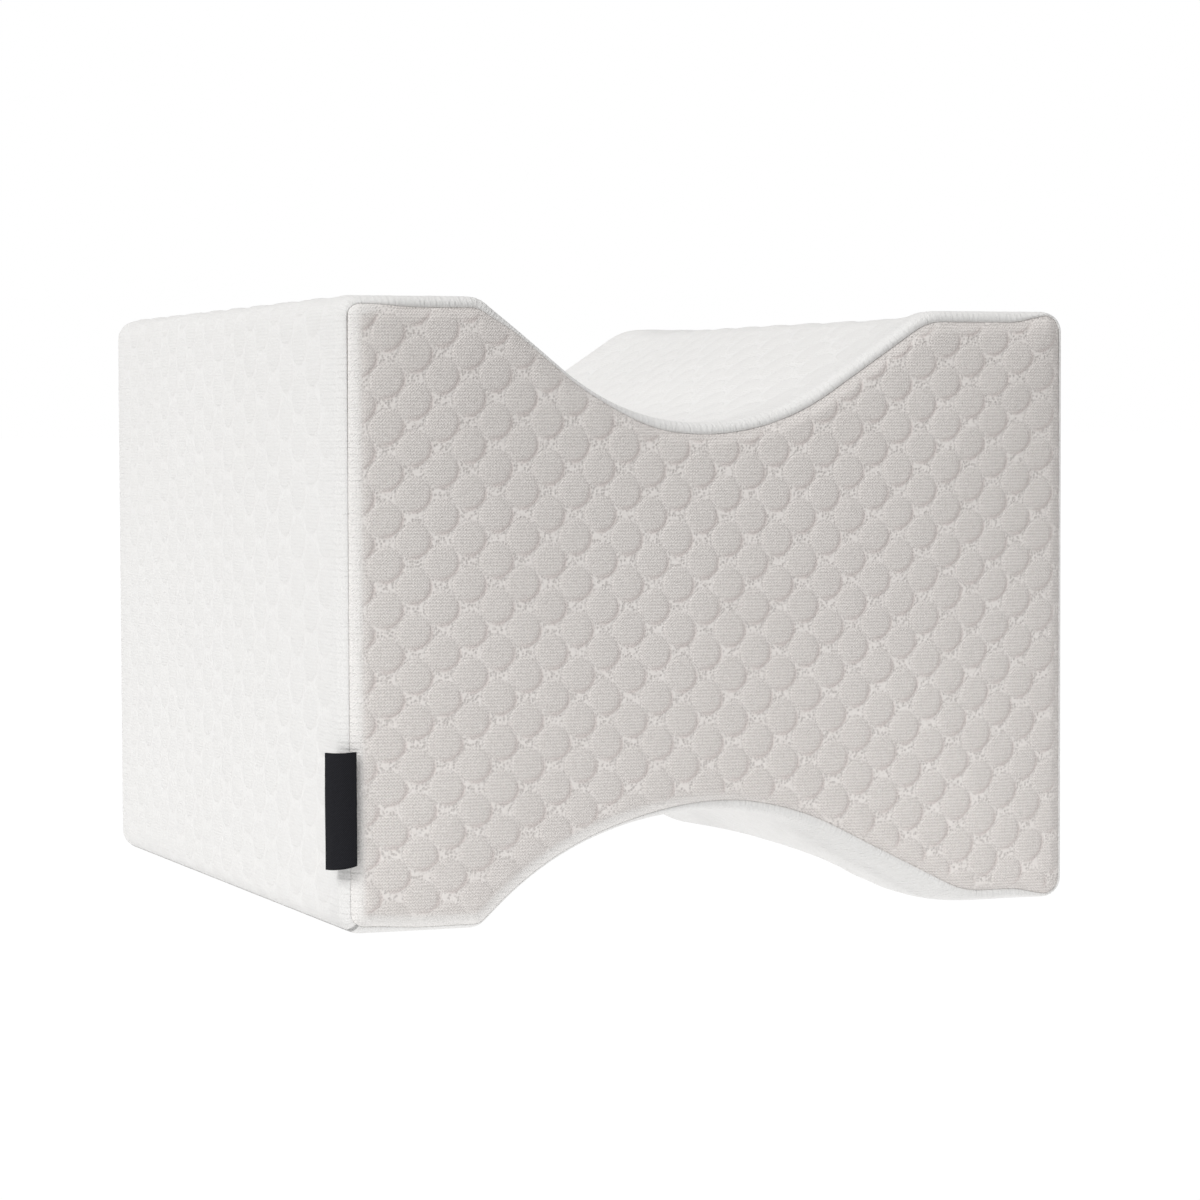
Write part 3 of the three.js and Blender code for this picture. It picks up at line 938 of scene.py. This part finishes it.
@dataclass
class EndPanel:
    """A hollowed end of the cover: a sheet of knit, crowned by the filling and turned in at its seam."""

    outline: Outline
    end: End
    crease: Crease = Crease()
    knit: Knit = Knit()
    bubbles: Bubbles = Bubbles()
    slack: Slack = Slack()
    spacing: float = 0.58
    crown: float = 2.4
    crown_reach: float = 48.0
    rim_rise: float = 1.0
    soft_rise: float = 1.75
    roll_width: float = 3.8
    soft_roll: float = 3.0
    plain_roll: float = 1.9
    dots_start: Span = (0.4, 2.8)
    ribs_end: Span = (0.6, 2.8)
    # The painted highlight along the soft rolled seam edge: how far in it reaches and how strong it is.
    rolled_highlight_end: Span = (0.0, 2.0)
    rolled_highlight_share: float = 0.8
    ring_spacing: float = 0.8
    rows_share: float = 0.88
    back_setback: float = 4.8
    rim_steps: tuple[float, ...] = (0.0, 0.2, 0.5, 0.9, 1.4, 2.0)

    def stations(self, low: float, high: float, count: int) -> Array:
        """Places from low to high, closer together near both."""
        inner = np.linspace(self.rim_steps[-1], high - low - self.rim_steps[-1], count)
        rim = np.array(self.rim_steps[:-1])
        return low + np.concatenate([rim, inner, (high - low) - rim[::-1]])

    def build(self, raising: Tree, finish: Material) -> Piece:
        """Builds the panel.

        Args:
            raising: The group that raises dots.
            finish: Its material.

        Returns:
            The panel.
        """
        plain = self.outline.ring(0, self.ring_spacing)
        inset = self.crease.inset * self.crease.shares(plain, self.outline)[0]
        edge = plain + inset[:, None] * (self.outline.ring(1, self.ring_spacing) - plain)
        left_end, right_end = edge[:, 0].min(), edge[:, 0].max()
        turn = int(np.argmax(edge[:, 0] >= right_end - 1e-6)) + 1
        under, above = edge[:turn], edge[turn:]
        above = above[above[:, 1] > self.outline.height / 2]
        above = above[np.argsort(above[:, 0])]
        count = round((right_end - left_end - 2 * self.rim_steps[-1]) / self.spacing)
        xs = self.stations(left_end, right_end, count)
        low = np.interp(xs, under[:, 0], under[:, 1])
        high = np.interp(xs, above[:, 0], above[:, 1])
        rows = round(self.outline.height * self.rows_share / self.spacing)
        z = np.stack([self.stations(a, b, rows) for a, b in zip(low, high)], -1)
        x = np.broadcast_to(xs, z.shape)
        place = np.stack([x.ravel(), z.ravel()], -1)
        inside = self.distance_inside(place, edge)
        flatness = 1 - np.minimum(inside / self.crown_reach, 1)
        swell = self.crown * (1 - flatness**2)
        fullness = self.crease.shares(place, self.outline)[1]
        roll = self.soft_roll + (self.roll_width - self.soft_roll) * fullness
        turned = 1 - np.minimum(inside / roll, 1)
        valley = self.crease.soft_valley + (self.crease.valley - self.crease.soft_valley) * fullness
        rise = self.soft_rise + (self.rim_rise - self.soft_rise) * fullness
        setback = valley - rise * (1 - turned**2) - swell
        way = self.end.value
        front = np.stack([place[:, 0], way * (self.outline.depth / 2 - setback), place[:, 1]], -1)
        columns, levels = len(xs), z.shape[0]
        faces = strip_faces(levels, columns, False)
        rim = self.rim_order(columns, levels)
        back = front[rim].copy()
        back[:, 1] = way * (self.outline.depth / 2 - self.back_setback)
        points = self.slack.moved(np.vstack([front, back]), self.outline)
        behind = [len(front) + i for i in range(len(rim))]
        for i, a in enumerate(rim):
            after = (i + 1) % len(rim)
            faces.append([a, behind[i], behind[after], rim[after]])
        faces.append(behind[::-1])
        if self.end is End.BACK:
            faces = [face[::-1] for face in faces]
        panel = mesh_object(f"{self.end.name.lower()}_knit_panel", points, faces)
        unseen = np.zeros(len(back))
        soft = np.concatenate([1 - fullness, unseen])
        depth = np.concatenate([inside, unseen]) - self.plain_roll * soft
        keep_values(
            panel,
            lattice=self.knit.on_panel(points[:, 0], points[:, 2], self.outline.height),
            cloth=np.stack([points[:, 0], points[:, 2], np.zeros(len(points))], -1),
            shown=smoothstep(depth, *self.dots_start),
            ribbed=1 - smoothstep(depth, *self.ribs_end),
            # Where the painted highlight lies: the soft rolled seam edge.
            rolled=self.rolled_highlight_share * soft * (1 - smoothstep(depth, *self.rolled_highlight_end)),
        )
        self.bubbles.raise_on(panel, raising, self.knit, finish)
        log.info("%s: %d points", panel.name, len(points))
        return panel

    @staticmethod
    def rim_order(columns: int, levels: int) -> list[int]:
        """The numbers of a grid's outer points, anticlockwise as seen from the front."""
        bottom = list(range(columns))
        right = [columns * j + columns - 1 for j in range(1, levels)]
        top = [columns * (levels - 1) + i for i in range(columns - 2, -1, -1)]
        left = [columns * j for j in range(levels - 2, 0, -1)]
        return bottom + right + top + left

    @staticmethod
    def distance_inside(place: Array, edge: Array) -> Array:
        """How far points lie from the panel's edge.

        Args:
            place: The points (x, z).
            edge: The edge's points in order.

        Returns:
            The distances.
        """
        after = np.roll(edge, -1, 0) - edge
        length = np.maximum((after**2).sum(1), 1e-12)
        nearest = np.full(len(place), np.inf)
        for start, run, square in zip(edge, after, length):
            off = place - start
            share = np.clip(off @ run / square, 0, 1)
            np.minimum(nearest, ((off - share[:, None] * run) ** 2).sum(1), out=nearest)
        return np.sqrt(nearest)


@dataclass
class SeamLabel:
    """A short tape folded in half, with both ends caught in the front left seam near the foot."""

    outline: Outline
    bottom: float = 16.8
    height: float = 29.4
    ply: float = 0.3
    between: float = 0.15
    levels: int = 40
    sewn_lift: float = 1.2
    sewn_spread: float = 0.8
    ripple: float = 0.12
    bend: Pairs = ((-2.9, -0.8), (-1.3, -0.95), (0.8, -0.2), (2.4, 1.7), (3.3, 4.2))

    def centre_line(self) -> Array:
        """The line of the fold between the two plies, as seen from above."""
        bend = smooth_path(self.bend, 6)
        return np.stack([-self.outline.width / 2 - bend[:, 0], bend[:, 1] - self.outline.depth / 2], -1)

    def build(self, finish: Material) -> Piece:
        """Builds the label.

        Args:
            finish: Its material.

        Returns:
            The label.
        """
        line = self.centre_line()
        run = np.gradient(line, axis=0)
        run /= np.linalg.norm(run, axis=1)[:, None]
        side = np.stack([-run[:, 1], run[:, 0]], -1)
        middle = (self.ply + self.between) / 2
        tip = line[-1]
        turn = np.linspace(0, math.pi, 9)[1:-1, None]
        fold = tip + middle * (np.cos(turn) * side[-1] + np.sin(turn) * run[-1])
        path = np.vstack([line + middle * side, fold, (line - middle * side)[::-1]])
        way = np.gradient(path, axis=0)
        way /= np.linalg.norm(way, axis=1)[:, None]
        out = np.stack([-way[:, 1], way[:, 0]], -1)
        loop = np.vstack([path + self.ply / 2 * out, (path - self.ply / 2 * out)[::-1]])
        walked = np.concatenate([[0], np.cumsum(np.linalg.norm(np.diff(path, axis=0), axis=1))])
        across = np.concatenate([walked, walked[::-1]])
        share = across / across.max()
        rings = []
        for level in np.linspace(0, 1, self.levels):
            wave = self.ripple * math.sin(7 * level + 0.6) * smoothstep(share, 0.1, 0.5)
            lift = (self.sewn_lift - self.sewn_spread * level) * (2 * share - 1) ** 2
            up = self.bottom + level * self.height + lift
            rings.append(np.stack([loop[:, 0] + 0.6 * wave, loop[:, 1] + wave, up], -1))
        points = np.vstack(rings)
        count = len(loop)
        faces = strip_faces(len(rings), count, True)
        last = (len(rings) - 1) * count
        faces += [list(range(count))[::-1], [last + i for i in range(count)]]
        label = mesh_object("woven_label", points, faces)
        cloth = np.stack([np.tile(across, len(rings)), points[:, 2], np.zeros(len(points))], -1)
        keep_values(label, cloth=cloth)
        label.data.materials.append(finish)
        label.data.validate()
        log.info("%s: %d points", label.name, len(points))
        return label


@dataclass
class Studio:
    """The pale lit table, the soft light and the camera."""

    camera_place: tuple[float, float, float] = (-0.3935, -1.0158, 0.129)
    yaw: float = 21.7615
    pitch: float = 2.6924
    roll: float = -0.2185
    lens: float = 114.066
    floor_size: float = 60.0
    floor_glow: float = 1.03
    floor_front_glow: float = 0.1
    sky_front: float = 0.2
    sky_above: float = 0.79
    light_from: tuple[float, float, float] = (-0.7, -0.28, 0.66)
    light_spread: float = 25.0
    light_strength: float = 1.62

    def build(self) -> None:
        """Builds everything round the object."""
        scene = bpy.context.scene
        scene.view_settings.view_transform = "Standard"
        camera = bpy.data.objects.new("camera", bpy.data.cameras.new("camera"))
        camera.data.lens = self.lens
        camera.data.sensor_width = 36.0
        camera.data.clip_end = 200.0
        camera.location = Vector(self.camera_place) + ORIGIN_SHIFT
        turn = Euler((math.radians(90 - self.pitch), 0.0, math.radians(-self.yaw))).to_matrix()
        camera.rotation_euler = (turn @ Matrix.Rotation(math.radians(self.roll), 3, "Z")).to_euler()
        scene.collection.objects.link(camera)
        scene.camera = camera
        light = self.light()
        floor = self.floor()
        self.world()

    def light(self) -> Piece:
        """The broad, even light from the upper left."""
        lamp = bpy.data.lights.new("key_light", "SUN")
        lamp.angle = math.radians(self.light_spread)
        lamp.energy = self.light_strength
        light = bpy.data.objects.new("key_light", lamp)
        light.rotation_euler = (-Vector(self.light_from)).to_track_quat("-Z", "Y").to_euler()
        bpy.context.scene.collection.objects.link(light)
        return light

    def floor(self) -> Piece:
        """The plain floor: one large square, lit from below like a photographer's table."""
        half = self.floor_size / 2 / MM
        corners = half * np.array([[-1.0, -1, 0], [1, -1, 0], [1, 1, 0], [-1, 1, 0]])
        floor = mesh_object("pale_floor", corners, [[0, 1, 2, 3]])
        table, sheet, shader = new_finish("lit_white_table")
        place = sheet.split(sheet.node("ShaderNodeTexCoord").outputs["Object"])
        glow = sheet.eased(place[1], -0.9, -0.15, (self.floor_front_glow, self.floor_glow))
        seen = sheet.node("ShaderNodeLightPath").outputs["Is Camera Ray"]
        looks = {
            "Base Color": (0.02, 0.02, 0.02, 1),
            "Roughness": 1.0,
            "Specular IOR Level": 0.0,
            "Emission Color": (1, 1, 1, 1),
            "Emission Strength": sheet.blend(seen, glow, 1.0),
        }
        sheet.feed(shader, looks)
        floor.data.materials.append(table)
        return floor

    def world(self) -> None:
        """A white backdrop that lights the object softly, from above and in front."""
        world = bpy.data.worlds.new("backdrop")
        world.use_nodes = True
        bpy.context.scene.world = world
        sheet = NodeSheet(world.node_tree)
        way = sheet.split(sheet.node("ShaderNodeTexCoord").outputs["Generated"])
        in_front = sheet.maths("MAXIMUM", sheet.times(way[1], -self.sky_front), 0.0)
        above = sheet.maths("MAXIMUM", sheet.times(way[2], self.sky_above), 0.0)
        light = sheet.maths("ADD", in_front, above)
        seen = sheet.node("ShaderNodeLightPath").outputs["Is Camera Ray"]
        looks = {"Color": (1, 1, 1, 1), "Strength": sheet.blend(seen, light, 1.0)}
        sheet.feed(world.node_tree.nodes["Background"], looks)


@dataclass
class KneePillow:
    """The whole pillow, from its pieces to what each stands for."""

    outline: Outline = Outline()
    band_finish: KnitFinish = KnitFinish(
        "band_bubble_knit",
        BandKnit(),
        colour=(0.87, 0.862, 0.85, 1),
        shade=(0.84, 0.83, 0.815, 1),
        # Painted shadow on each dot's lower right.
        dot_shadow_colour=(0.84, 0.825, 0.81, 1),
        # Painted shade between the stitches and in the mesh's holes.
        between=(0.78, 0.765, 0.75, 1),
        rim_depth=0.1,
        grain_depth=0.09,
        wale_depth=0.035,
        stitch_shade_share=0.3,
    )
    panel_finish: KnitFinish = KnitFinish(
        "panel_bubble_knit",
        Knit(),
        # Pinker than the band's colour: the off-white cloth with a painted warm tint of the shade on the
        # ends.
        colour=(0.9, 0.859, 0.83, 1),
        shade=(0.86, 0.81, 0.78, 1),
        # Painted shadow on each dot's lower right.
        dot_shadow_colour=(0.74, 0.64, 0.615, 1),
        # Painted shade between the stitches and in the mesh's holes.
        between=(0.53, 0.492, 0.47, 1),
        rim_depth=0.12,
    )

    def build(self) -> None:
        """Builds and declares every piece."""
        groups = KnitTexture().groups()
        raising = Bubbles.tree()
        band_finish = self.band_finish.material(groups)
        panel_finish = self.panel_finish.material(groups)
        band = FilledBand(self.outline).build(raising, band_finish)
        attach(band, "root")
        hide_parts("filled_band")
        for end in End:
            panel = EndPanel(self.outline, end).build(raising, panel_finish)
            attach(panel, "root")
            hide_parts(f"{end.name.lower()}_panel")
        seam_label = SeamLabel(self.outline)
        label = seam_label.build(LabelFinish().material())
        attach(label, "root")
        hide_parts("seam_label")


def main() -> None:
    """Builds the pillow and the studio."""
    logging.basicConfig(level=logging.INFO, format="%(name)s: %(message)s")
    KneePillow().build()
    Studio().build()


if __name__ == "__main__":
    main()
